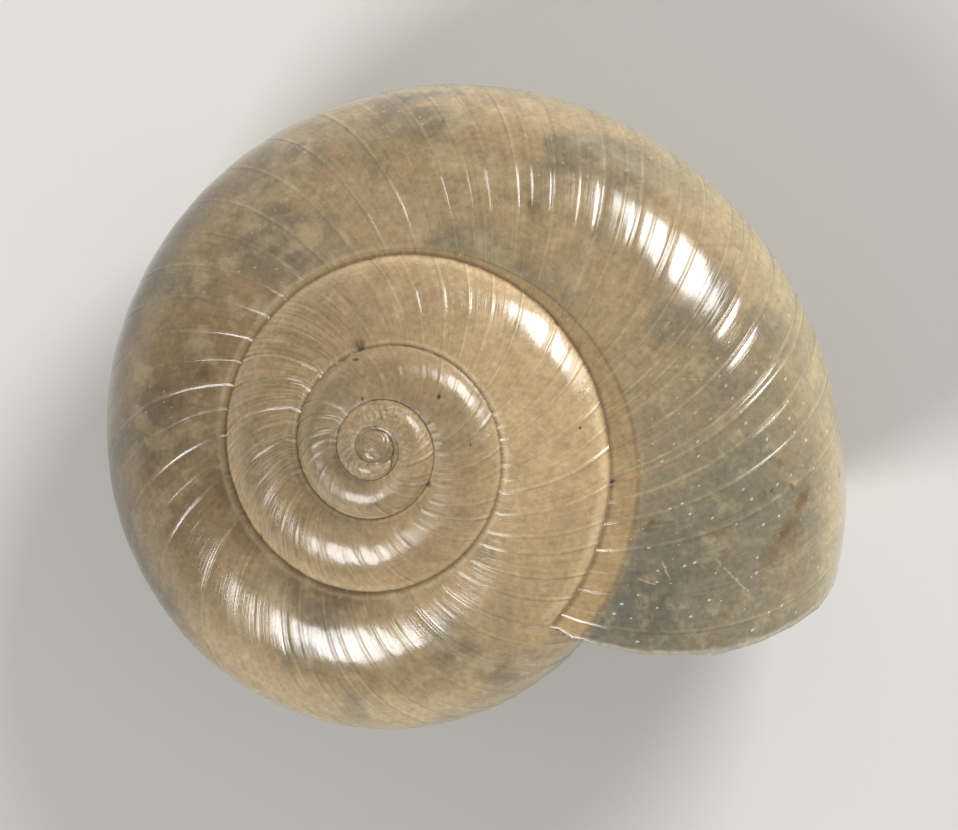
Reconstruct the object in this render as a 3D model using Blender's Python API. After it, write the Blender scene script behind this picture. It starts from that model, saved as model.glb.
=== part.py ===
"""A small glass snail's shell: a thin-walled coil of four whorls, open at its mouth, lying on its base."""

import math

import bmesh
import bpy
import numpy as np
from mathutils import Matrix, Vector

MM = 0.001

# The coil. Angles along it, in radians, run back from the lip, and sizes shrink with them by growth().
LIP_RADIUS = 3.0 * MM  # coil axis to the widest point of the last whorl, at the lip
WHORLS = 2.9  # turns with a hollow inside
BUD_WHORLS = 4.1  # turns to the tip of the solid first whorls
BUD_OVERLAP = 0.25  # turns that the solid whorls run inside the hollow ones
GROWTH_RATE = 0.0842  # per radian
GROWTH_RISE = 0.000055  # per radian cubed: the earlier whorls open faster
EARLY_ANGLE = 16.0  # radians back from the lip, where the growth rate stops rising

# The whorl's section, as shares of the radius at the same angle. Heights are from the tip of the spire.
TUBE_REACH = 0.548  # coil axis to the middle of the tube
TUBE_HALF_WIDTH = 0.4515
TUBE_DEPTH = 0.597  # tip of the spire down to the middle of the tube
CROWN_HEIGHT = 0.378  # middle of the tube up to its top
BASE_HEIGHT = 0.485  # middle of the tube down to its base
WALL = 0.036
LIP_WALL_SHARE = 0.5  # the wall thins to this share at the lip
LIP_TAPER = math.radians(14)

# Growth lines lean back from the suture to the base, and so does the lip.
SUTURE_VIEW = math.radians(92)  # place of the suture round the section, from the widest point upward
LINE_LEAN = math.radians(36)
LINE_SPAN = math.radians(160)  # round the section, from the suture, to where the lean is complete
PLEAT_SPACING = math.radians(14)  # on the last whorl
FIRST_PLEAT = math.radians(7.7)
PLEAT_UNEVENNESS = 0.25  # largest share by which a gap is wider or narrower
PLEAT_WIDENING = 0.04  # per radian: pleats stand further apart on the small whorls
PLEAT_DEPTH = 0.004
PLEAT_SEED = 7

OUTER_POINTS = 15
INNER_POINTS = 10
BUD_POINTS = 14
BUD_RINGS = 52
BUD_INSET = 0.2 * WALL  # the solid whorls lie this far inside the hollow ones where both run
BUD_TIP_SHARE = 0.14  # size of the last ring of the solid whorls
NUCLEUS_RADIUS = 0.11 * MM  # the dome on the axis that the first whorl starts from
NUCLEUS_HALF_HEIGHT = 0.085 * MM
NUCLEUS_DEPTH = 0.12 * MM  # tip of the spire down to its middle
NUCLEUS_SIDES = 14
NUCLEUS_RINGS = 8

EDGE_DEPTH = 0.65 * WALL  # a whorl's edges end this deep in the wall of the whorl before
EDGE_STARTS = (math.radians(80), math.radians(-140))  # round the section, outside the whorl before
EDGE_STEPS = (math.radians(1), math.radians(-1))
EDGE_PLACES = 90
EDGE_HALVINGS = 24

# The rest: how far the coil's axis leans from upright, and towards which side.
REST_LEAN = math.radians(14.5)
REST_SIDE = math.radians(177)
LIP_SIDE = math.radians(312)
REST_FLAT_DEPTH = 0.03 * MM  # worn off the lowest places, at the lip and across from it
FLOOR_BLOCK = 10 * MM

SHELL_COLOUR = (0.38, 0.30, 0.17, 1.0)


def growth(angle):
    """Size of the coil at an angle back from the lip, as a share of its size there."""
    late = np.minimum(angle, EARLY_ANGLE)
    return np.exp(-(GROWTH_RATE * angle + GROWTH_RISE * late**2 * (3 * angle - 2 * late)))


def line_lag(view):
    """How far back a growth line lies at a place round the section, in radians along the coil."""
    share = np.clip((SUTURE_VIEW - view) / LINE_SPAN, 0, 1)
    return LINE_LEAN * np.sin(share * math.pi / 2)


def section(view, inset):
    """Point of the whorl's section, as (distance from the axis, height), an inset inside its outer face."""
    half_height = np.where(np.sin(view) > 0, CROWN_HEIGHT, BASE_HEIGHT)
    reach = TUBE_REACH + (TUBE_HALF_WIDTH - inset) * np.cos(view)
    height = -TUBE_DEPTH + (half_height - inset) * np.sin(view)
    return reach, height


def inside_earlier_whorl(reach, height, angle, inset):
    """Whether a point of the section at an angle lies in the tube one turn back, cut down by an inset."""
    scale = growth(angle + 2 * math.pi) / growth(angle)
    half_height = CROWN_HEIGHT if height > -TUBE_DEPTH * scale else BASE_HEIGHT
    across = (reach - TUBE_REACH * scale) / ((TUBE_HALF_WIDTH - inset) * scale)
    up = (height + TUBE_DEPTH * scale) / ((half_height - inset) * scale)
    return across**2 + up**2 < 1


def embedded_view(start, step, angle, inset):
    """Place round the section, from a start, where its face is deep enough in the earlier whorl's wall."""
    places = [start + step * i for i in range(EDGE_PLACES)]
    high = next(
        view for view in places if inside_earlier_whorl(*section(view, inset), angle, EDGE_DEPTH)
    )
    low = high - step
    for _ in range(EDGE_HALVINGS):
        middle = (low + high) / 2
        if inside_earlier_whorl(*section(middle, inset), angle, EDGE_DEPTH):
            high = middle
        else:
            low = middle
    return high


def pleat_angles():
    """Angles of the growth pleats, unevenly spaced, from the lip back to the last hollow whorl."""
    spread = np.random.default_rng(PLEAT_SEED)
    angles = []
    angle = FIRST_PLEAT
    while angle < 2 * math.pi * WHORLS:
        angles.append(angle)
        gap = PLEAT_SPACING * (1 + PLEAT_WIDENING * angle)
        angle += gap * (1 + spread.uniform(-PLEAT_UNEVENNESS, PLEAT_UNEVENNESS))
    return angles


def wall_profile(angle, is_pleat):
    """Closed outline of the whorl's wall at an angle: round the outside, then back along the inside."""
    wall = WALL * (1 - (1 - LIP_WALL_SHARE) * max(0.0, 1 - angle / LIP_TAPER))
    searches = list(zip(EDGE_STARTS, EDGE_STEPS))
    outer_ends = [embedded_view(*search, angle, 0.0) for search in searches]
    inner_ends = [embedded_view(*search, angle, wall) for search in searches]
    outer = np.linspace(*outer_ends, OUTER_POINTS)
    inner = np.linspace(*reversed(inner_ends), INNER_POINTS)
    fade = np.sin(np.linspace(0, math.pi, OUTER_POINTS))
    outer_points = section(outer, PLEAT_DEPTH * is_pleat * fade)
    inner_points = section(inner, wall)
    view = np.concatenate([outer, inner])
    reach = np.concatenate([outer_points[0], inner_points[0]])
    height = np.concatenate([outer_points[1], inner_points[1]])
    return view, reach, height


def on_coil(at, reach, height):
    """Places in the shell's own frame of section points, each at its own angle along the coil."""
    size = LIP_RADIUS * growth(at)
    around = at + LIP_SIDE
    x, y = size * reach * np.cos(around), size * reach * np.sin(around)
    return np.stack([x, y, size * height], axis=1)


def loft(name, rings):
    """Closed body through rings of the same number of points, with a face across each end."""
    count = len(rings[0])
    mesh = bpy.data.meshes.new(name)
    form = bmesh.new()
    verts = [[form.verts.new(point) for point in ring] for ring in rings]
    for ring, after in zip(verts, verts[1:]):
        for i in range(count):
            j = (i + 1) % count
            form.faces.new((ring[i], ring[j], after[j], after[i]))
    form.faces.new(verts[0])
    form.faces.new(verts[-1])
    bmesh.ops.recalc_face_normals(form, faces=form.faces)
    form.to_mesh(mesh)
    form.free()
    return bpy.data.objects.new(name, mesh)


def build_coil():
    """The hollow coil, one long wall whose edges run into the wall of the whorl before."""
    pleats = pleat_angles()
    stops = [(0.0, False)]
    for angle, following in zip(pleats, pleats[1:]):
        stops += [(angle, True), ((angle + following) / 2, False)]
    rings = []
    for angle, is_pleat in stops:
        view, reach, height = wall_profile(angle, is_pleat)
        rings.append(on_coil(angle + line_lag(view), reach, height))
    return loft("shell", rings)


def build_bud():
    """The first whorl, solid, from inside the hollow coil to its round tip."""
    view = np.linspace(0, 2 * math.pi, BUD_POINTS, endpoint=False)
    angles = np.linspace(2 * math.pi * (WHORLS - BUD_OVERLAP), 2 * math.pi * BUD_WHORLS, BUD_RINGS)
    rings = []
    for share, angle in zip(np.linspace(0, 1, BUD_RINGS), angles):
        shrink = math.sqrt(max(1 - share**4, BUD_TIP_SHARE**2))
        reach = TUBE_REACH + (TUBE_HALF_WIDTH - BUD_INSET) * shrink * np.cos(view)
        height = -TUBE_DEPTH + (CROWN_HEIGHT - BUD_INSET) * shrink * np.sin(view)
        rings.append(on_coil(np.full(BUD_POINTS, angle), reach, height))
    return loft("bud", rings)


def build_nucleus():
    """The dome on the axis, where the coil starts."""
    mesh = bpy.data.meshes.new("nucleus")
    form = bmesh.new()
    bmesh.ops.create_uvsphere(
        form, u_segments=NUCLEUS_SIDES, v_segments=NUCLEUS_RINGS, radius=NUCLEUS_RADIUS
    )
    squash = Matrix.Diagonal((1, 1, NUCLEUS_HALF_HEIGHT / NUCLEUS_RADIUS, 1))
    form.transform(Matrix.Translation((0, 0, -NUCLEUS_DEPTH)) @ squash)
    form.to_mesh(mesh)
    form.free()
    return bpy.data.objects.new("nucleus", mesh)


def rest_matrix(shell):
    """Turn that lays the coil on its base, then moves the middle of its box over the origin."""
    lean_axis = Vector((-math.sin(REST_SIDE), math.cos(REST_SIDE), 0))
    turn = Matrix.Rotation(REST_LEAN, 4, lean_axis)
    points = np.array([turn @ v.co for v in shell.data.vertices])
    low, high = points.min(axis=0), points.max(axis=0)
    middle = (low + high) / 2
    return Matrix.Translation((-middle[0], -middle[1], -low[2] - REST_FLAT_DEPTH)) @ turn


def add_boolean(target, operation, cutter):
    modifier = target.modifiers.new(cutter.name, "BOOLEAN")
    modifier.operation = operation
    modifier.solver = "EXACT"
    modifier.use_self = operation == "UNION"
    modifier.object = cutter


def floor_cutter():
    """Block below the surface that the shell rests on."""
    bpy.ops.mesh.primitive_cube_add(size=FLOOR_BLOCK, location=(0, 0, -FLOOR_BLOCK / 2))
    block = bpy.context.object
    block.name = "floor"
    return block


def shell_material():
    material = bpy.data.materials.new("Thin aragonite shell")
    material.use_nodes = True
    surface = material.node_tree.nodes["Principled BSDF"]
    surface.inputs["Base Color"].default_value = SHELL_COLOUR
    surface.inputs["Roughness"].default_value = 0.2
    surface.inputs["Metallic"].default_value = 0.0
    return material


def main():
    for old in list(bpy.data.objects):
        bpy.data.objects.remove(old, do_unlink=True)
    parts = bpy.data.collections.new("Glass snail shell")
    cutters = bpy.data.collections.new("Cutters")
    bpy.context.scene.collection.children.link(parts)
    bpy.context.scene.collection.children.link(cutters)

    shell = build_coil()
    bud = build_bud()
    nucleus = build_nucleus()
    floor = floor_cutter()
    for cutter in (bud, nucleus, floor):
        for home in cutter.users_collection:
            home.objects.unlink(cutter)
        cutters.objects.link(cutter)
        cutter.hide_render = True
        cutter.display_type = "WIRE"
    parts.objects.link(shell)
    shell.data.materials.append(shell_material())

    rest = rest_matrix(shell)
    shell.data.transform(rest)
    bud.data.transform(rest)
    nucleus.data.transform(rest)
    add_boolean(shell, "UNION", bud)
    add_boolean(shell, "UNION", nucleus)
    add_boolean(shell, "DIFFERENCE", floor)
    shell.data.shade_smooth()


main()
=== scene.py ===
"""Looks of a glass snail's shell, about 5 mm across: the fine shell wall, its finish, and a plain studio."""

import math

import bpy
import numpy as np
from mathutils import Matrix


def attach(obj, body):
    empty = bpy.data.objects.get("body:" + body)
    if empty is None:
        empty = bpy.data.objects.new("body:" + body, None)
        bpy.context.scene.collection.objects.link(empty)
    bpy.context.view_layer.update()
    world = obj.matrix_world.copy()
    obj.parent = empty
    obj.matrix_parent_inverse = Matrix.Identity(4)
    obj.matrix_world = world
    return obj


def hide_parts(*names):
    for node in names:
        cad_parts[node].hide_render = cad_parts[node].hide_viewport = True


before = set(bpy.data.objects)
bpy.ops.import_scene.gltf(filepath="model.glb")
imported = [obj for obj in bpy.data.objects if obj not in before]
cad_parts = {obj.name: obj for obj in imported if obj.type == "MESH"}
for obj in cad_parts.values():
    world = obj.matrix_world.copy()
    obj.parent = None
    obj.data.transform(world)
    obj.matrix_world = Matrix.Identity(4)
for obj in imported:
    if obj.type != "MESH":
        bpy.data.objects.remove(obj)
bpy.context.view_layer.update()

# The camera. It looks straight down on the spire, as the photograph does, through a long macro lens. The
# picture shows the light as it falls, so that the gloss burns out to white as it does there.
PICTURE_WIDTH = 6.404e-3  # metres of the subject across the picture
SUBJECT_HEIGHT = 1.6e-3
CAMERA_HEIGHT = 0.1
SENSOR = 36.0
camera_data = bpy.data.cameras.new("camera")
camera_data.sensor_width = SENSOR
camera_data.lens = SENSOR * (CAMERA_HEIGHT - SUBJECT_HEIGHT) / PICTURE_WIDTH
camera_data.clip_start = 0.01
camera_data.clip_end = 2.0
camera = bpy.data.objects.new("camera", camera_data)
camera.location = (0.02e-3, -0.06e-3, CAMERA_HEIGHT)
bpy.context.scene.collection.objects.link(camera)
bpy.context.scene.camera = camera
bpy.context.scene.view_settings.view_transform = "Standard"

# The shell wall. A land snail's shell is aragonite under a thin horny skin, laid down at the lip in one
# growing coil. Each whorl is a thin curved wall whose two edges grow into the wall of the whorl before.
# Growth pauses leave narrow grooves that lean back from the suture, and the wall swells a little between
# them.
MM = 0.001
LIP_RADIUS = 3.0 * MM
GROWTH_RATE = 0.0842
GROWTH_RISE = 0.000055
EARLY_ANGLE = 16.0
TUBE_REACH = 0.548
TUBE_HALF_WIDTH = 0.4515
TUBE_DEPTH = 0.597
CROWN_HEIGHT = 0.378
BASE_HEIGHT = 0.485
WALL = 0.036
LIP_WALL_SHARE = 0.35
LIP_TAPER = 14.0  # degrees back from the lip
SUTURE_VIEW = 92.0
LINE_LEAN = 36.0
LINE_SPAN = 160.0
REST_LEAN = math.radians(14.5)
REST_SIDE = math.radians(177)
LIP_SIDE = math.radians(312)
REST_FLAT_DEPTH = 0.03 * MM
WHORLS = 3.97
TIP_TAPER = 60.0  # degrees over which the first whorl rounds off to its tip
OUTER_POINTS = 76
INNER_POINTS = 20
EDGE_DEPTH = 0.65 * WALL
TOP_SEARCH = (70.0, 125.0)  # degrees round the section between which the upper edge lies, then the lower one
LOW_SEARCH = (-140.0, -235.0)
NUCLEUS_RADIUS = 0.134 * MM
NUCLEUS_HALF_HEIGHT = 0.08 * MM
NUCLEUS_DEPTH = 0.116 * MM
NUCLEUS_BACK = 1500.0  # the degrees back that the nucleus counts as having, past the whole coil

# Growth pauses on the last whorl, in degrees back from the lip, each with the depth of its groove in mm.
PAUSES = (
    (4.5, 0.006), (12, 0.004), (17, 0.003), (22.5, 0.007), (29.3, 0.008), (34.7, 0.012), (39.2, 0.008),
    (41, 0.013), (47.8, 0.014), (53.3, 0.012), (55.8, 0.009), (58.3, 0.011), (64, 0.009), (68.8, 0.014),
    (73, 0.006), (76.5, 0.012), (79.5, 0.009), (84, 0.016), (89, 0.005), (94, 0.015), (99, 0.006),
    (102, 0.009), (108, 0.012), (113, 0.006), (118, 0.012), (124, 0.006), (130, 0.011), (139, 0.011),
    (148, 0.009), (157, 0.009), (165, 0.01), (173, 0.009), (181, 0.008), (190, 0.009), (198, 0.006),
    (206, 0.009), (214, 0.007), (223, 0.009), (231, 0.005), (237, 0.01), (252, 0.014), (263, 0.015),
    (270, 0.006), (279, 0.013), (284.5, 0.008), (293.5, 0.01), (297, 0.008), (303, 0.007), (309, 0.013),
    (317, 0.006), (327, 0.012), (335, 0.006), (341, 0.012), (350, 0.009), (357, 0.01),
)
DEEP_PAUSE = 0.0115 * MM  # the wall itself dips at these; the others are scratches in the skin
PAUSE_WIDTH = 0.36  # degrees on the last whorl, to where a groove is a third as deep
EARLY_PAUSE_GAP = 8.5  # degrees between pauses on the second whorl, more on the first ones
SWELL = 0.000022  # share of the radius that the wall swells by, for each square degree of a gap
WIDEST_SWELL = 11  # degrees, the gap past which it swells no more
WAVER = 0.001  # share of the radius by which the surface wavers
SUTURE_FADE = 14  # degrees under the suture over which grooves and swellings fade in
NICKED = 2.0  # degrees back from the lip to where its edge is nicked


def growth(angle):
    """Size of the coil: an exponential fall with the angle back from the lip, quicker on the early whorls."""
    late = np.minimum(angle, EARLY_ANGLE)
    return np.exp(-(GROWTH_RATE * angle + GROWTH_RISE * late**2 * (3 * angle - 2 * late)))


def line_lag(view):
    """Degrees that a growth line lies back at a place round the section: a quarter sine from the suture."""
    return LINE_LEAN * np.sin(np.clip((SUTURE_VIEW - view) / LINE_SPAN, 0, 1) * math.pi / 2)


def section(view, inset):
    """Ellipse, deeper below, shrunk by an inset: distance from the axis, and height under the tip."""
    turn = np.radians(view)
    half_height = np.where(np.sin(turn) > 0, CROWN_HEIGHT, BASE_HEIGHT)
    reach = TUBE_REACH + (TUBE_HALF_WIDTH - inset) * np.cos(turn)
    return reach, -TUBE_DEPTH + (half_height - inset) * np.sin(turn)


def edge(outside, inside, angle, inset, depth):
    """Place round the section where it is a depth into the whorl before, by halving between two places."""
    scale = growth(angle + 2 * math.pi) / growth(angle)
    low, high = np.full(angle.shape, outside), np.full(angle.shape, inside)
    for _ in range(30):
        middle = (low + high) / 2
        reach, height = section(middle, inset)
        half_height = np.where(height > -TUBE_DEPTH * scale, CROWN_HEIGHT, BASE_HEIGHT)
        across = (reach - TUBE_REACH * scale) / ((TUBE_HALF_WIDTH - depth) * scale)
        up = (height + TUBE_DEPTH * scale) / ((half_height - depth) * scale)
        within = across**2 + up**2 < 1
        low, high = np.where(within, low, middle), np.where(within, middle, high)
    return high


def closed_loft(rings):
    """Quads between neighbouring closed rings (ring, point, xyz), and one face across each end."""
    count, points = rings.shape[:2]
    index = np.arange(count * points).reshape(count, points)
    beside = np.roll(index, -1, axis=1)
    quads = np.stack([index[:-1], index[1:], beside[1:], beside[:-1]], axis=-1).reshape(-1, 4)
    return rings.reshape(-1, 3), quads, [index[0].tolist(), index[-1][::-1].tolist()]


# The rings of the grid, in degrees back from the lip: one at each pause, one midway between two, four close
# beside each deep one, and even steps elsewhere. The pauses before the last whorl are spread by chance.
spread = np.random.default_rng(11)
early = [360 + 5.0]
while early[-1] < 360 * WHORLS - 40:
    early.append(early[-1] + EARLY_PAUSE_GAP * (1 + 0.0012 * (early[-1] - 360)) * spread.uniform(0.6, 1.4))
pause_at = np.array([place for place, _ in PAUSES] + early)
pause_depth = np.array([depth for _, depth in PAUSES] + list(spread.uniform(0.004, 0.013, len(early)))) * MM
pause_width = np.where(pause_at < 360, PAUSE_WIDTH, PAUSE_WIDTH * 1.5 * (1 + 0.0006 * pause_at))
deep = pause_depth >= DEEP_PAUSE
even = np.concatenate([
    np.arange(0, 360, 1.9), np.arange(360, 720, 2.6), np.arange(720, 1080, 3.6),
    np.arange(1080, 360 * WHORLS, 4.4),
])
even = even[np.abs(even[:, None] - pause_at).min(axis=1) > 0.5]
close = (pause_at[deep, None] + pause_width[deep, None] * np.array([-1.8, -0.9, 0.9, 1.8])).ravel()
between_pauses = (pause_at[1:] + pause_at[:-1]) / 2
back = np.concatenate([[0.0, 0.5], pause_at, between_pauses, close, even])
back = np.unique(np.round(back[(back >= 0) & (back <= 360 * WHORLS)], 3))
angle = np.radians(back)

# The outer and the inner skin of each ring, from edge to edge, and how far each point sinks or swells.
wall = WALL * (1 - (1 - LIP_WALL_SHARE) * np.clip(1 - back / LIP_TAPER, 0, 1))
suture = edge(*TOP_SEARCH, angle, 0.0, 0.0)
outer_top, outer_low = [edge(*search, angle, 0.0, EDGE_DEPTH) for search in (TOP_SEARCH, LOW_SEARCH)]
inner_top, inner_low = [edge(*search, angle, wall, EDGE_DEPTH) for search in (TOP_SEARCH, LOW_SEARCH)]
outer_share = np.linspace(0, 1, OUTER_POINTS)
outer_share = 0.55 * outer_share + 0.45 * outer_share**2
inner_share = np.linspace(1, 0, INNER_POINTS)
outer_view = outer_top[:, None] + (outer_low - outer_top)[:, None] * outer_share
inner_view = inner_top[:, None] + (inner_low - inner_top)[:, None] * inner_share
view = np.concatenate([outer_view, inner_view], axis=1)
under_suture = suture[:, None] - view

dips = deep * pause_depth * np.exp(-(((back[:, None] - pause_at) / pause_width) ** 2))
after = np.clip(np.searchsorted(pause_at, back), 1, len(pause_at) - 1)
gap = pause_at[after] - pause_at[after - 1]
between = np.clip((back - pause_at[after - 1]) / gap, 0, 1)
swell_at = SWELL * np.minimum(gap, WIDEST_SWELL) ** 2 * 4 * between * (1 - between)
fade_in = np.clip(under_suture[:, :OUTER_POINTS] / SUTURE_FADE, 0, 1)
fade_out = np.clip((outer_view + 120) / 100, 0.15, 1)
sink = dips.sum(axis=1)[:, None] / (LIP_RADIUS * growth(angle)[:, None]) * growth(angle)[:, None] ** 0.7
waver = np.sin(0.21 * back[:, None] + 0.05 * outer_view) * np.sin(0.11 * outer_view + 0.013 * back[:, None])
outer_inset = (sink - swell_at[:, None] + WAVER * waver) * fade_in * fade_out
inset = np.concatenate([outer_inset, np.repeat(wall[:, None], INNER_POINTS, axis=1)], axis=1)

tip = np.clip((back - (360 * WHORLS - TIP_TAPER)) / TIP_TAPER, 0, 1)
tip_shrink = np.sqrt(1 - 0.97 * tip**3)[:, None]
reach, height = section(view, inset)
reach = TUBE_REACH + (reach - TUBE_REACH) * tip_shrink
height = -TUBE_DEPTH + (height + TUBE_DEPTH) * tip_shrink
nicks = 0.35 * np.sin(0.23 * view) * np.sin(0.71 * view + 1.0) + 0.2 * np.sin(1.9 * view)
lag = line_lag(view) + nicks * np.clip(1 - back / NICKED, 0, 1)[:, None]
at = np.radians(back[:, None] + lag)
size = LIP_RADIUS * growth(at)
around = at + LIP_SIDE
rings = np.stack([size * reach * np.cos(around), size * reach * np.sin(around), size * height], axis=-1)
wall_points, wall_quads, wall_ends = closed_loft(rings)

# The first whorl is filled: a sweep of closed ellipses a little inside the wall, rounded off at the tip as
# it is.
bud_back = np.linspace(360 * (WHORLS - 1.0), 360 * WHORLS - 8, 90)
bud_view = np.linspace(0, -360, 24, endpoint=False)
bud_tip = np.sqrt(1 - 0.97 * np.clip((bud_back - bud_back[-1] + TIP_TAPER) / TIP_TAPER, 0, 1) ** 3)[:, None]
bud_reach, bud_height = section(bud_view[None, :] + 0 * bud_back[:, None], 0.6 * WALL)
bud_reach = TUBE_REACH + (bud_reach - TUBE_REACH) * bud_tip
bud_height = -TUBE_DEPTH + (bud_height + TUBE_DEPTH) * bud_tip
bud_at = np.radians(bud_back)[:, None]
bud_size = LIP_RADIUS * growth(bud_at)
bud_rings = np.stack([
    bud_size * bud_reach * np.cos(bud_at + LIP_SIDE), bud_size * bud_reach * np.sin(bud_at + LIP_SIDE),
    bud_size * bud_height,
], axis=-1)
bud_points, bud_quads, bud_ends = closed_loft(bud_rings)

# The nucleus, where growth began: a low dome on the axis, finely wrinkled, its height a cosine of the rise
# and its wrinkles sines of the turn and of the rise.
rise = np.linspace(math.radians(89), math.radians(-80), 40)[:, None]
turn = np.linspace(0, 2 * math.pi, 64, endpoint=False)[None, :]
wrinkle = 1 + 0.022 * np.sin(9 * rise + turn) + 0.015 * np.sin(5 * turn + 14 * rise) * np.cos(rise)
nucleus_rings = np.stack([
    NUCLEUS_RADIUS * wrinkle * np.cos(rise) * np.cos(turn),
    NUCLEUS_RADIUS * wrinkle * np.cos(rise) * np.sin(turn),
    NUCLEUS_HALF_HEIGHT * wrinkle * np.sin(rise) - NUCLEUS_DEPTH + 0 * turn,
], axis=-1)
nucleus_points, nucleus_quads, nucleus_ends = closed_loft(nucleus_rings)

lean_axis = np.array([-math.sin(REST_SIDE), math.cos(REST_SIDE), 0.0])


def laid_down(points):
    """Points turned about a level axis through the tip by the lean, by the axis-angle formula."""
    along = points @ lean_axis
    return (
        points * math.cos(REST_LEAN)
        + np.cross(lean_axis, points) * math.sin(REST_LEAN)
        + np.outer(along, lean_axis) * (1 - math.cos(REST_LEAN))
    )


points = laid_down(np.concatenate([wall_points, bud_points, nucleus_points]))
low, high = points.min(axis=0), points.max(axis=0)
points -= [(low[0] + high[0]) / 2, (low[1] + high[1]) / 2, low[2] + REST_FLAT_DEPTH]
points[:, 2] = np.maximum(points[:, 2], 0.0)
faces = wall_quads.tolist() + wall_ends
faces += (bud_quads + len(wall_points)).tolist() + [[i + len(wall_points) for i in end] for end in bud_ends]
offset = len(wall_points) + len(bud_points)
faces += (nucleus_quads + offset).tolist() + [[i + offset for i in end] for end in nucleus_ends]

# Places on the shell for the finish to follow: degrees back from the lip along a growth line, degrees round
# the section under the whorl's own suture, degrees over the next whorl's suture, and millimetres from the
# nearest growth pause with that pause's depth.
coil_place = back[:, None] + line_lag(view)
suture_reach, suture_height = section(suture, 0.0)
shrink = growth(angle + 2 * math.pi) / growth(angle)
covered = np.degrees(np.arctan2(
    (suture_height / shrink + TUBE_DEPTH) / CROWN_HEIGHT,
    (suture_reach / shrink - TUBE_REACH) / TUBE_HALF_WIDTH,
))
over_next = np.where(coil_place < 360, 99.0, view - np.interp(coil_place - 360, back, covered))
nearest = np.abs(back[:, None] - pause_at).argmin(axis=1)
off_pause = np.abs(back - pause_at[nearest])[:, None] * math.pi / 180 * size * reach / MM
depth_here = np.interp(back, pause_at, pause_depth / MM)
core_count = len(bud_points) + len(nucleus_points)
places = {
    "back": np.concatenate([
        np.repeat(back, view.shape[1]), np.repeat(bud_back, len(bud_view)),
        np.full(len(nucleus_points), NUCLEUS_BACK),
    ]),
    "under": np.concatenate([under_suture.ravel(), np.full(core_count, 45.0)]),
    "over": np.concatenate([over_next.ravel(), np.full(core_count, 99.0)]),
    "off_pause": np.concatenate([off_pause.ravel(), np.full(core_count, 1.0)]),
    "pause_depth": np.concatenate([np.repeat(depth_here, view.shape[1]), np.zeros(core_count)]),
}
mesh = bpy.data.meshes.new("shell_wall")
mesh.from_pydata(points.tolist(), [], faces)
mesh.update()
for name, values in places.items():
    mesh.attributes.new(name, "FLOAT", "POINT").data.foreach_set("value", values.astype(np.float32))
mesh.shade_smooth()
shell_wall = bpy.data.objects.new("shell_wall", mesh)
bpy.context.scene.collection.objects.link(shell_wall)


def linear(hex_colour):
    """Linear RGBA of an sRGB hex value."""
    parts = np.array([int(hex_colour[i:i + 2], 16) for i in (1, 3, 5)]) / 255
    parts = np.where(parts <= 0.04045, parts / 12.92, ((parts + 0.055) / 1.055) ** 2.4)
    return (*parts.tolist(), 1.0)


def add(tree, kind, links=None, **settings):
    """A node of a kind, with its settings, and its inputs set to values or joined to other nodes' outputs."""
    node = tree.nodes.new("ShaderNode" + kind)
    for name, value in settings.items():
        setattr(node, name, value)
    for name, value in (links or {}).items():
        if isinstance(value, bpy.types.NodeSocket):
            tree.links.new(value, node.inputs[name])
        else:
            node.inputs[name].default_value = value
    return node


# Horny skin over aragonite: thin, glossy and a little translucent. The gloss is the skin's, and what lies
# behind the wall tints it: horn brown over a filled whorl, with the top of the whorl before as a tan band
# along the suture. Over the empty last quarter whorl a grey-green is painted shade, the dark seen through
# the thin wall, and a pale rim where the wall is seen edge-on is a painted sheen.
HORN = linear("#A8906A")
OLIVE = linear("#827760")
BROWN = linear("#7C6040")
SPIRE = linear("#A98F68")
SEEN_THROUGH_SHADE = linear("#7F7863")
SEEN_THROUGH_DEEP_SHADE = linear("#605D4F")
BAND = linear("#A88E64")
RIM_SHEEN = linear("#B3A57A")
SUTURE_LINE = linear("#5F472E")
PALE_LINE = linear("#C2AD86")
RUST = linear("#6E5233")
DIRT = linear("#2E2015")
NUCLEUS = linear("#927D61")
SCAR = linear("#A6825A")
DUST = linear("#D8D0BC")
material = bpy.data.materials.new("Horny skin over thin aragonite")
material.use_nodes = True
tree = material.node_tree
skin = tree.nodes["Principled BSDF"]
back_at, under_at, over_at, off_line, line_depth = [
    add(tree, "Attribute", attribute_name=name).outputs["Fac"] for name in places
]
place = add(tree, "TexCoord").outputs["Object"]
line_place = add(tree, "CombineXYZ", {"X": back_at, "Y": under_at}).outputs["Vector"]


def ramp(value, start, end, low=0.0, high=1.0):
    """Smooth step of a value from low at start to high at end."""
    links = {"Value": value, "From Min": start, "From Max": end, "To Min": low, "To Max": high}
    return add(tree, "MapRange", links, interpolation_type="SMOOTHSTEP").outputs["Result"]


def times(*values):
    """Product of several values."""
    product = values[0]
    for value in values[1:]:
        product = add(tree, "Math", {0: product, 1: value}, operation="MULTIPLY").outputs[0]
    return product


def most(*values):
    """Largest of several values."""
    largest = values[0]
    for value in values[1:]:
        largest = add(tree, "Math", {0: largest, 1: value}, operation="MAXIMUM").outputs[0]
    return largest


def laid_over(colour, mask, tint):
    """A colour with a tint laid over it where a mask is 1."""
    return add(tree, "MixRGB", {"Fac": mask, "Color1": colour, "Color2": tint}).outputs["Color"]


def noise(vector, scale, detail, roughness):
    """Fractal noise at a place, about 0.5 in the mean."""
    links = {"Vector": vector, "Scale": scale, "Detail": detail, "Roughness": roughness}
    return add(tree, "TexNoise", links).outputs["Fac"]


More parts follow.
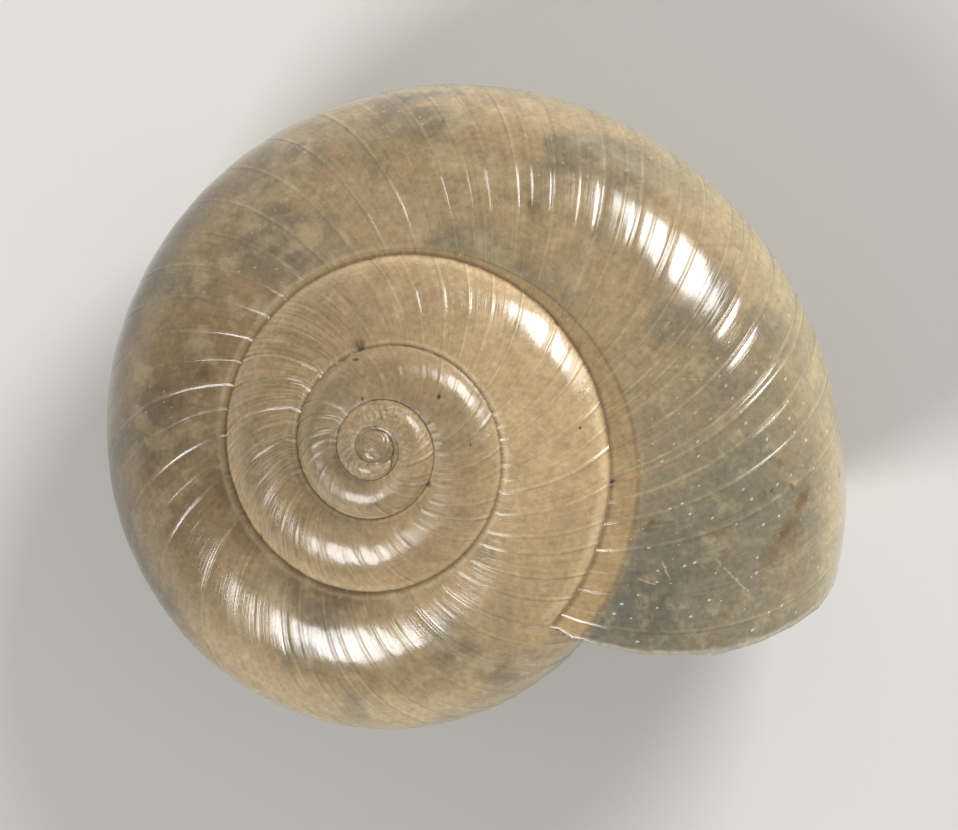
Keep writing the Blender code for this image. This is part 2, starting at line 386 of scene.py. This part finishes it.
blotch = noise(place, 1500.0, 4.0, 0.55)  # patches about 0.7 mm across
mottle = noise(place, 6500.0, 4.0, 0.6)  # about 0.15 mm
grit = noise(place, 24000.0, 3.0, 0.65)  # about 0.04 mm
STRETCH = (1.0, 0.018, 0.0)  # so that each line runs far across the whorl
stria_place = add(tree, "VectorMath", {0: line_place, 1: STRETCH}, operation="MULTIPLY").outputs["Vector"]
stria = noise(stria_place, 0.9, 4.0, 0.7)  # lines about a degree apart

colour = laid_over(HORN, ramp(blotch, 0.45, 0.62, 0.0, 0.85), OLIVE)
spire = ramp(back_at, 352.0, 372.0)
colour = laid_over(colour, times(spire, 0.75), SPIRE)
left = times(ramp(back_at, 150.0, 200.0), ramp(back_at, 275.0, 235.0), ramp(under_at, 62.0, 22.0))
colour = laid_over(colour, times(left, ramp(mottle, 0.3, 0.6, 0.3, 0.7)), BROWN)
beside = times(ramp(back_at, 215.0, 240.0), ramp(back_at, 330.0, 300.0), ramp(under_at, 16.0, 4.0))
colour = laid_over(colour, times(beside, 0.6), BROWN)
# Painted shade: grey-green, darker still by the lip, for the dark seen through the thin wall of the empty
# last quarter whorl.
shaded_window = times(ramp(back_at, 74.0, 20.0), ramp(under_at, 7.0, 12.0), ramp(under_at, 92.0, 50.0))
colour = laid_over(colour, times(shaded_window, ramp(mottle, 0.35, 0.65, 0.75, 1.0)), SEEN_THROUGH_SHADE)
deep_shaded_window = times(
    ramp(back_at, 40.0, 8.0), ramp(under_at, 7.0, 12.0), ramp(under_at, 46.0, 20.0), ramp(blotch, 0.6, 0.42)
)
colour = laid_over(colour, times(deep_shaded_window, 0.8), SEEN_THROUGH_DEEP_SHADE)
# Painted sheen: a pale rim on the outer flank of the last whorl, where the wall is seen edge-on.
rim_sheen = times(ramp(under_at, 68.0, 88.0), ramp(under_at, 135.0, 105.0), ramp(back_at, 372.0, 352.0))
colour = laid_over(colour, times(rim_sheen, 0.65), RIM_SHEEN)
pale_patch = ramp(noise(place, 8500.0, 3.0, 0.6), 0.5, 0.78, 0.0, 0.4)
colour = laid_over(colour, pale_patch, PALE_LINE)
cloud = ramp(noise(place, 3200.0, 3.0, 0.6), 0.5, 0.64)
cloud = times(cloud, ramp(back_at, 60.0, 110.0), ramp(back_at, 352.0, 330.0))
colour = laid_over(colour, times(cloud, 0.4), PALE_LINE)

band_width = ramp(back_at, 30.0, 130.0, 8.8, 2.2)
band_place = add(tree, "Math", {0: under_at, 1: band_width}, operation="DIVIDE").outputs[0]
band = times(ramp(band_place, 1.08, 0.92), ramp(back_at, 330.0, 200.0))
colour = laid_over(colour, times(band, 0.85), BAND)
band_edge = times(ramp(band_place, 0.86, 0.98), ramp(band_place, 1.14, 1.02), ramp(back_at, 330.0, 200.0))
colour = laid_over(colour, times(band_edge, 0.35), SUTURE_LINE)
suture_line = most(ramp(under_at, 1.8, 0.4), ramp(over_at, 1.8, 0.4))
colour = laid_over(colour, times(suture_line, 0.55), SUTURE_LINE)
flank = most(
    times(ramp(under_at, 1.6, 2.6), ramp(under_at, 4.6, 3.0), ramp(back_at, 110.0, 150.0)),
    times(ramp(over_at, 1.6, 3.0), ramp(over_at, 10.0, 4.4)),
)
colour = laid_over(colour, times(flank, 0.45), PALE_LINE)

# Painted highlight: pale along the growth pauses, where light catches the groove edges, in patches and fading
# by the suture.
line_patch = ramp(mottle, 0.35, 0.6, 0.25, 1.0)
groove_glint = times(ramp(off_line, 0.02, 0.004), ramp(line_depth, 0.002, 0.013), line_patch)
groove_glint = times(groove_glint, ramp(under_at, 2.0, 9.0))
colour = laid_over(colour, times(groove_glint, 0.45), PALE_LINE)

# Marks of use on this one: rust stains by the lip, dirt in the sutures, a closed crack, scratches and dust.
# Each has its place in degrees back and under the suture, picked on the photograph, then its radius or
# half-width in mm.
STAINS = (
    (16.0, 59.0, 0.17), (14.0, 54.0, 0.11), (19.5, 65.0, 0.1), (27.5, 55.0, 0.06), (24.5, 48.0, 0.045),
    (22.5, 60.0, 0.04), (27.0, 14.0, 0.06), (16.5, 91.0, 0.05), (510.0, 4.0, 0.07), (202.0, 13.0, 0.09),
    (98.0, 26.0, 0.1),
)
SPECKS = (
    (39.0, 0.8, 0.045), (510.0, 0.3, 0.042), (856.0, 62.0, 0.028), (799.5, 31.0, 0.026),
    (734.0, 0.5, 0.036), (400.0, 44.5, 0.016), (182.0, 65.0, 0.014), (760.5, 38.5, 0.012),
    (1171.0, 40.0, 0.013), (873.5, 6.0, 0.016), (1185.0, 46.0, 0.01), (24.5, 51.0, 0.012),
)
SCRATCHES = (
    (17.0, 35.0, 9.5, 48.5, 0.008), (18.5, 19.5, 15.0, 23.5, 0.008), (15.5, 15.0, 14.0, 20.0, 0.006),
    (366.5, 3.0, 362.0, 9.0, 0.008), (52.0, 27.0, 49.0, 33.0, 0.007),
)
SCARS = ((38.9, 0.0, 38.3, 11.0, 0.014), (38.3, 11.0, 37.9, 21.0, 0.009), (510.0, 0.0, 510.5, 28.0, 0.007))
shiver = add(tree, "TexNoise", {"Vector": place, "Scale": 14000.0, "Detail": 2.0}).outputs["Color"]
shiver = add(tree, "VectorMath", {0: shiver, 1: (0.5, 0.5, 0.5)}, operation="SUBTRACT").outputs["Vector"]
rough_place, steady_place = [
    add(tree, "VectorMath", {0: shiver, 1: shake, 2: line_place}, operation="MULTIPLY_ADD").outputs["Vector"]
    for shake in ((2.4, 4.5, 0.0), (0.9, 2.0, 0.0))
]


def scales_at(back_place, under_place):
    """Millimetres to a degree along the coil and round the section, at a place on it."""
    at_view = SUTURE_VIEW - under_place
    here = LIP_RADIUS * float(growth(np.radians(back_place + line_lag(at_view)))) / MM * math.pi / 180
    return here * float(section(at_view, 0.0)[0]), here * TUBE_HALF_WIDTH * 0.92


def spot(back_place, under_place, radius):
    """Round mask: the distance to a place, in mm, against a radius."""
    along, down = scales_at(back_place, under_place)
    off = add(tree, "VectorMath", {0: rough_place, 1: (back_place, under_place, 0.0)}, operation="SUBTRACT")
    off = add(tree, "VectorMath", {0: off.outputs["Vector"], 1: (along, down, 0.0)}, operation="MULTIPLY")
    distance = add(tree, "VectorMath", {0: off.outputs["Vector"]}, operation="LENGTH").outputs["Value"]
    return ramp(distance, radius, radius * 0.2)


def streak(back_a, under_a, back_b, under_b, half_width):
    """Line mask: the distance in mm to the nearest point between two places, against a half-width."""
    along, down = scales_at((back_a + back_b) / 2, (under_a + under_b) / 2)
    run = np.array([(back_b - back_a) * along, (under_b - under_a) * down])
    off = add(tree, "VectorMath", {0: steady_place, 1: (back_a, under_a, 0.0)}, operation="SUBTRACT")
    off = add(tree, "VectorMath", {0: off.outputs["Vector"], 1: (along, down, 0.0)}, operation="MULTIPLY")
    step = (run / (run @ run)).tolist()
    share = add(tree, "VectorMath", {0: off.outputs["Vector"], 1: (*step, 0.0)}, operation="DOT_PRODUCT")
    share = add(tree, "Clamp", {"Value": share.outputs["Value"]}).outputs["Result"]
    foot = add(tree, "VectorMath", {0: (*run.tolist(), 0.0), "Scale": share}, operation="SCALE")
    links = {0: off.outputs["Vector"], 1: foot.outputs["Vector"]}
    distance = add(tree, "VectorMath", links, operation="DISTANCE").outputs["Value"]
    return ramp(distance, half_width, half_width * 0.3)


stain = times(most(*[spot(*mark) for mark in STAINS]), ramp(mottle, 0.3, 0.6, 0.2, 0.85))
colour = laid_over(colour, stain, RUST)
scar = times(most(*[streak(*mark) for mark in SCARS]), ramp(mottle, 0.35, 0.58, 0.35, 0.9))
colour = laid_over(colour, scar, SCAR)
scratch = most(*[streak(*mark) for mark in SCRATCHES])
colour = laid_over(colour, times(scratch, ramp(grit, 0.35, 0.6, 0.1, 0.65)), PALE_LINE)
colour = laid_over(colour, times(most(*[spot(*mark) for mark in SPECKS]), 0.9), DIRT)
lip_edge = times(ramp(back_at, 1.2, 0.2), 0.5)
colour = laid_over(colour, lip_edge, DUST)

DUST_GRID = (0.4, 0.185, 0.0)  # cells to a degree along and round, about 0.11 mm each way by the lip
dust_place = add(tree, "VectorMath", {0: line_place, 1: DUST_GRID}, operation="MULTIPLY").outputs["Vector"]
dust_cells = add(tree, "TexVoronoi", {"Vector": dust_place, "Scale": 1.0}, voronoi_dimensions="2D")
dust_size = add(tree, "SeparateColor", {"Color": dust_cells.outputs["Color"]}).outputs["Red"]
dust_radius = ramp(dust_size, 0.35, 1.0, 0.01, 0.11)
dust_links = {0: dust_radius, 1: dust_cells.outputs["Distance"]}
dust_gap = add(tree, "Math", dust_links, operation="SUBTRACT").outputs[0]
dust_by_lip = times(ramp(back_at, 75.0, 30.0), ramp(under_at, 6.0, 12.0))
dust_where = most(dust_by_lip, ramp(blotch, 0.4, 0.65, 0.0, 0.6))
dust = times(ramp(dust_gap, 0.0, 0.03), dust_where, ramp(under_at, 130.0, 90.0))
colour = laid_over(colour, times(dust, 0.7), DUST)

nucleus_mask = ramp(back_at, 1450.0, 1480.0)
colour = laid_over(colour, times(nucleus_mask, 0.5), NUCLEUS)
wrinkles = noise(place, 42000.0, 2.0, 0.5)
first_whorl = ramp(back_at, 960.0, 1180.0)

# Tone along the coil, in degrees back from the lip, set to match how bright the photograph is
# there: least on the left, over the dark inside, and on the small whorls. Part of it is painted shade:
# the left of the last whorl, turned away from both lamps, is painted darker.
TONE = (
    (0, 0.98), (40, 0.88), (70, 0.8), (120, 0.77), (160, 0.78), (200, 0.66), (235, 0.64), (265, 0.8),
    (300, 0.8), (340, 0.92), (365, 1.0), (430, 1.12), (480, 0.92), (540, 0.72), (600, 0.7), (650, 0.82),
    (720, 0.84), (790, 0.74), (900, 0.64), (1020, 0.74), (NUCLEUS_BACK, 0.7),
)
TONE_TOP = 1.5  # tone at the top of the curve's own scale
tone_curve = add(tree, "FloatCurve", {"Value": times(back_at, 1 / NUCLEUS_BACK)})
tone_points = tone_curve.mapping.curves[0].points
for _ in range(len(TONE) - 2):
    tone_points.new(0.5, 0.5)
for tone_point, (degrees_back, tone_there) in zip(tone_points, TONE):
    tone_point.location = (degrees_back / NUCLEUS_BACK, tone_there / TONE_TOP)
tone_curve.mapping.update()
# Painted shade and sheen on the outer flanks: the left flank of the last whorl, turned away from both lamps,
# is painted darker, and the outer flanks elsewhere lighter, a painted sheen.
shaded_left_flank = times(ramp(back_at, 130.0, 165.0), ramp(back_at, 262.0, 228.0), ramp(under_at, 40.0, 66.0))
beside_left = most(ramp(back_at, 165.0, 120.0), ramp(back_at, 222.0, 262.0))
sheen_flank = times(beside_left, ramp(under_at, 36.0, 66.0))
flank_shade_and_sheen = add(tree, "Math", {0: shaded_left_flank, 1: -0.5, 2: 1.0}, operation="MULTIPLY_ADD").outputs[0]
flank_shade_and_sheen = add(tree, "Math", {0: sheen_flank, 1: 0.35, 2: flank_shade_and_sheen}, operation="MULTIPLY_ADD").outputs[0]
tone = times(tone_curve.outputs["Value"], TONE_TOP, flank_shade_and_sheen)
close_lines = times(ramp(back_at, 495.0, 520.0), ramp(back_at, 660.0, 625.0))
stria_share = add(tree, "Math", {0: close_lines, 1: 1.0, 2: 0.55}, operation="MULTIPLY_ADD").outputs[0]
shade = 1.0
patterns = ((grit, 0.85), (stria, stria_share), (mottle, 0.5), (wrinkles, times(first_whorl, 0.9)))
for pattern, share in patterns:
    about = add(tree, "Math", {0: pattern, 1: 0.5}, operation="SUBTRACT").outputs[0]
    shade = add(tree, "Math", {0: about, 1: share, 2: shade}, operation="MULTIPLY_ADD").outputs[0]
shaded = add(tree, "VectorMath", {0: colour, "Scale": times(shade, tone)}, operation="SCALE")
tree.links.new(shaded.outputs["Vector"], skin.inputs["Base Color"])

groove = times(ramp(off_line, 0.024, 0.0), line_depth, -0.65)
relief = add(tree, "Math", {0: stria, 1: 0.0035, 2: groove}, operation="MULTIPLY_ADD").outputs[0]
wrinkled = times(wrinkles, first_whorl)
relief = add(tree, "Math", {0: wrinkled, 1: 0.01, 2: relief}, operation="MULTIPLY_ADD").outputs[0]
bump = add(tree, "Bump", {"Height": relief, "Strength": 1.0, "Distance": MM})  # heights are in mm
tree.links.new(bump.outputs["Normal"], skin.inputs["Normal"])
gloss = ramp(mottle, 0.35, 0.7, 0.13, 0.24)
tree.links.new(gloss, skin.inputs["Roughness"])
skin.inputs["IOR"].default_value = 1.55
skin.inputs["Coat Weight"].default_value = 0.45
skin.inputs["Coat Roughness"].default_value = 0.1
mesh.materials.append(material)
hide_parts("shell")
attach(shell_wall, "root")

# The studio: a pale floor, two soft lamps low on either side, as the photograph's gloss shows, and a pale
# sky.
FLOOR_SIZE = 0.4
FLOOR_LEVEL = -2e-6  # just under the shell, so that the two never share a plane
floor_mesh = bpy.data.meshes.new("floor")
half = FLOOR_SIZE / 2
corners = [(x * half, y * half, FLOOR_LEVEL) for x, y in ((-1, -1), (1, -1), (1, 1), (-1, 1))]
floor_mesh.from_pydata(corners, [], [(0, 1, 2, 3)])
floor = bpy.data.objects.new("floor", floor_mesh)
bpy.context.scene.collection.objects.link(floor)
paper = bpy.data.materials.new("Pale matt paper")
paper.use_nodes = True
paper.node_tree.nodes["Principled BSDF"].inputs["Base Color"].default_value = linear("#CDCBC6")
paper.node_tree.nodes["Principled BSDF"].inputs["Roughness"].default_value = 0.9
floor_mesh.materials.append(paper)

LAMP_DISTANCE = 0.08
for name, side, rise, power, width in (("key", 54, 33, 0.06, 0.038), ("second", -136, 40, 0.047, 0.034)):
    lamp_data = bpy.data.lights.new(name, "AREA")
    lamp_data.energy = power
    lamp_data.shape = "DISK"
    lamp_data.size = width
    lamp = bpy.data.objects.new(name, lamp_data)
    turn, lift = math.radians(side), math.radians(rise)
    lamp.location = (
        LAMP_DISTANCE * math.cos(lift) * math.cos(turn), LAMP_DISTANCE * math.cos(lift) * math.sin(turn),
        LAMP_DISTANCE * math.sin(lift),
    )
    lamp.rotation_euler = (math.pi / 2 - lift, 0, turn + math.pi / 2)
    bpy.context.scene.collection.objects.link(lamp)
sky = bpy.data.worlds.new("sky")
sky.use_nodes = True
sky.node_tree.nodes["Background"].inputs["Color"].default_value = (0.98, 0.98, 1.0, 1.0)
sky.node_tree.nodes["Background"].inputs["Strength"].default_value = 0.28
bpy.context.scene.world = sky
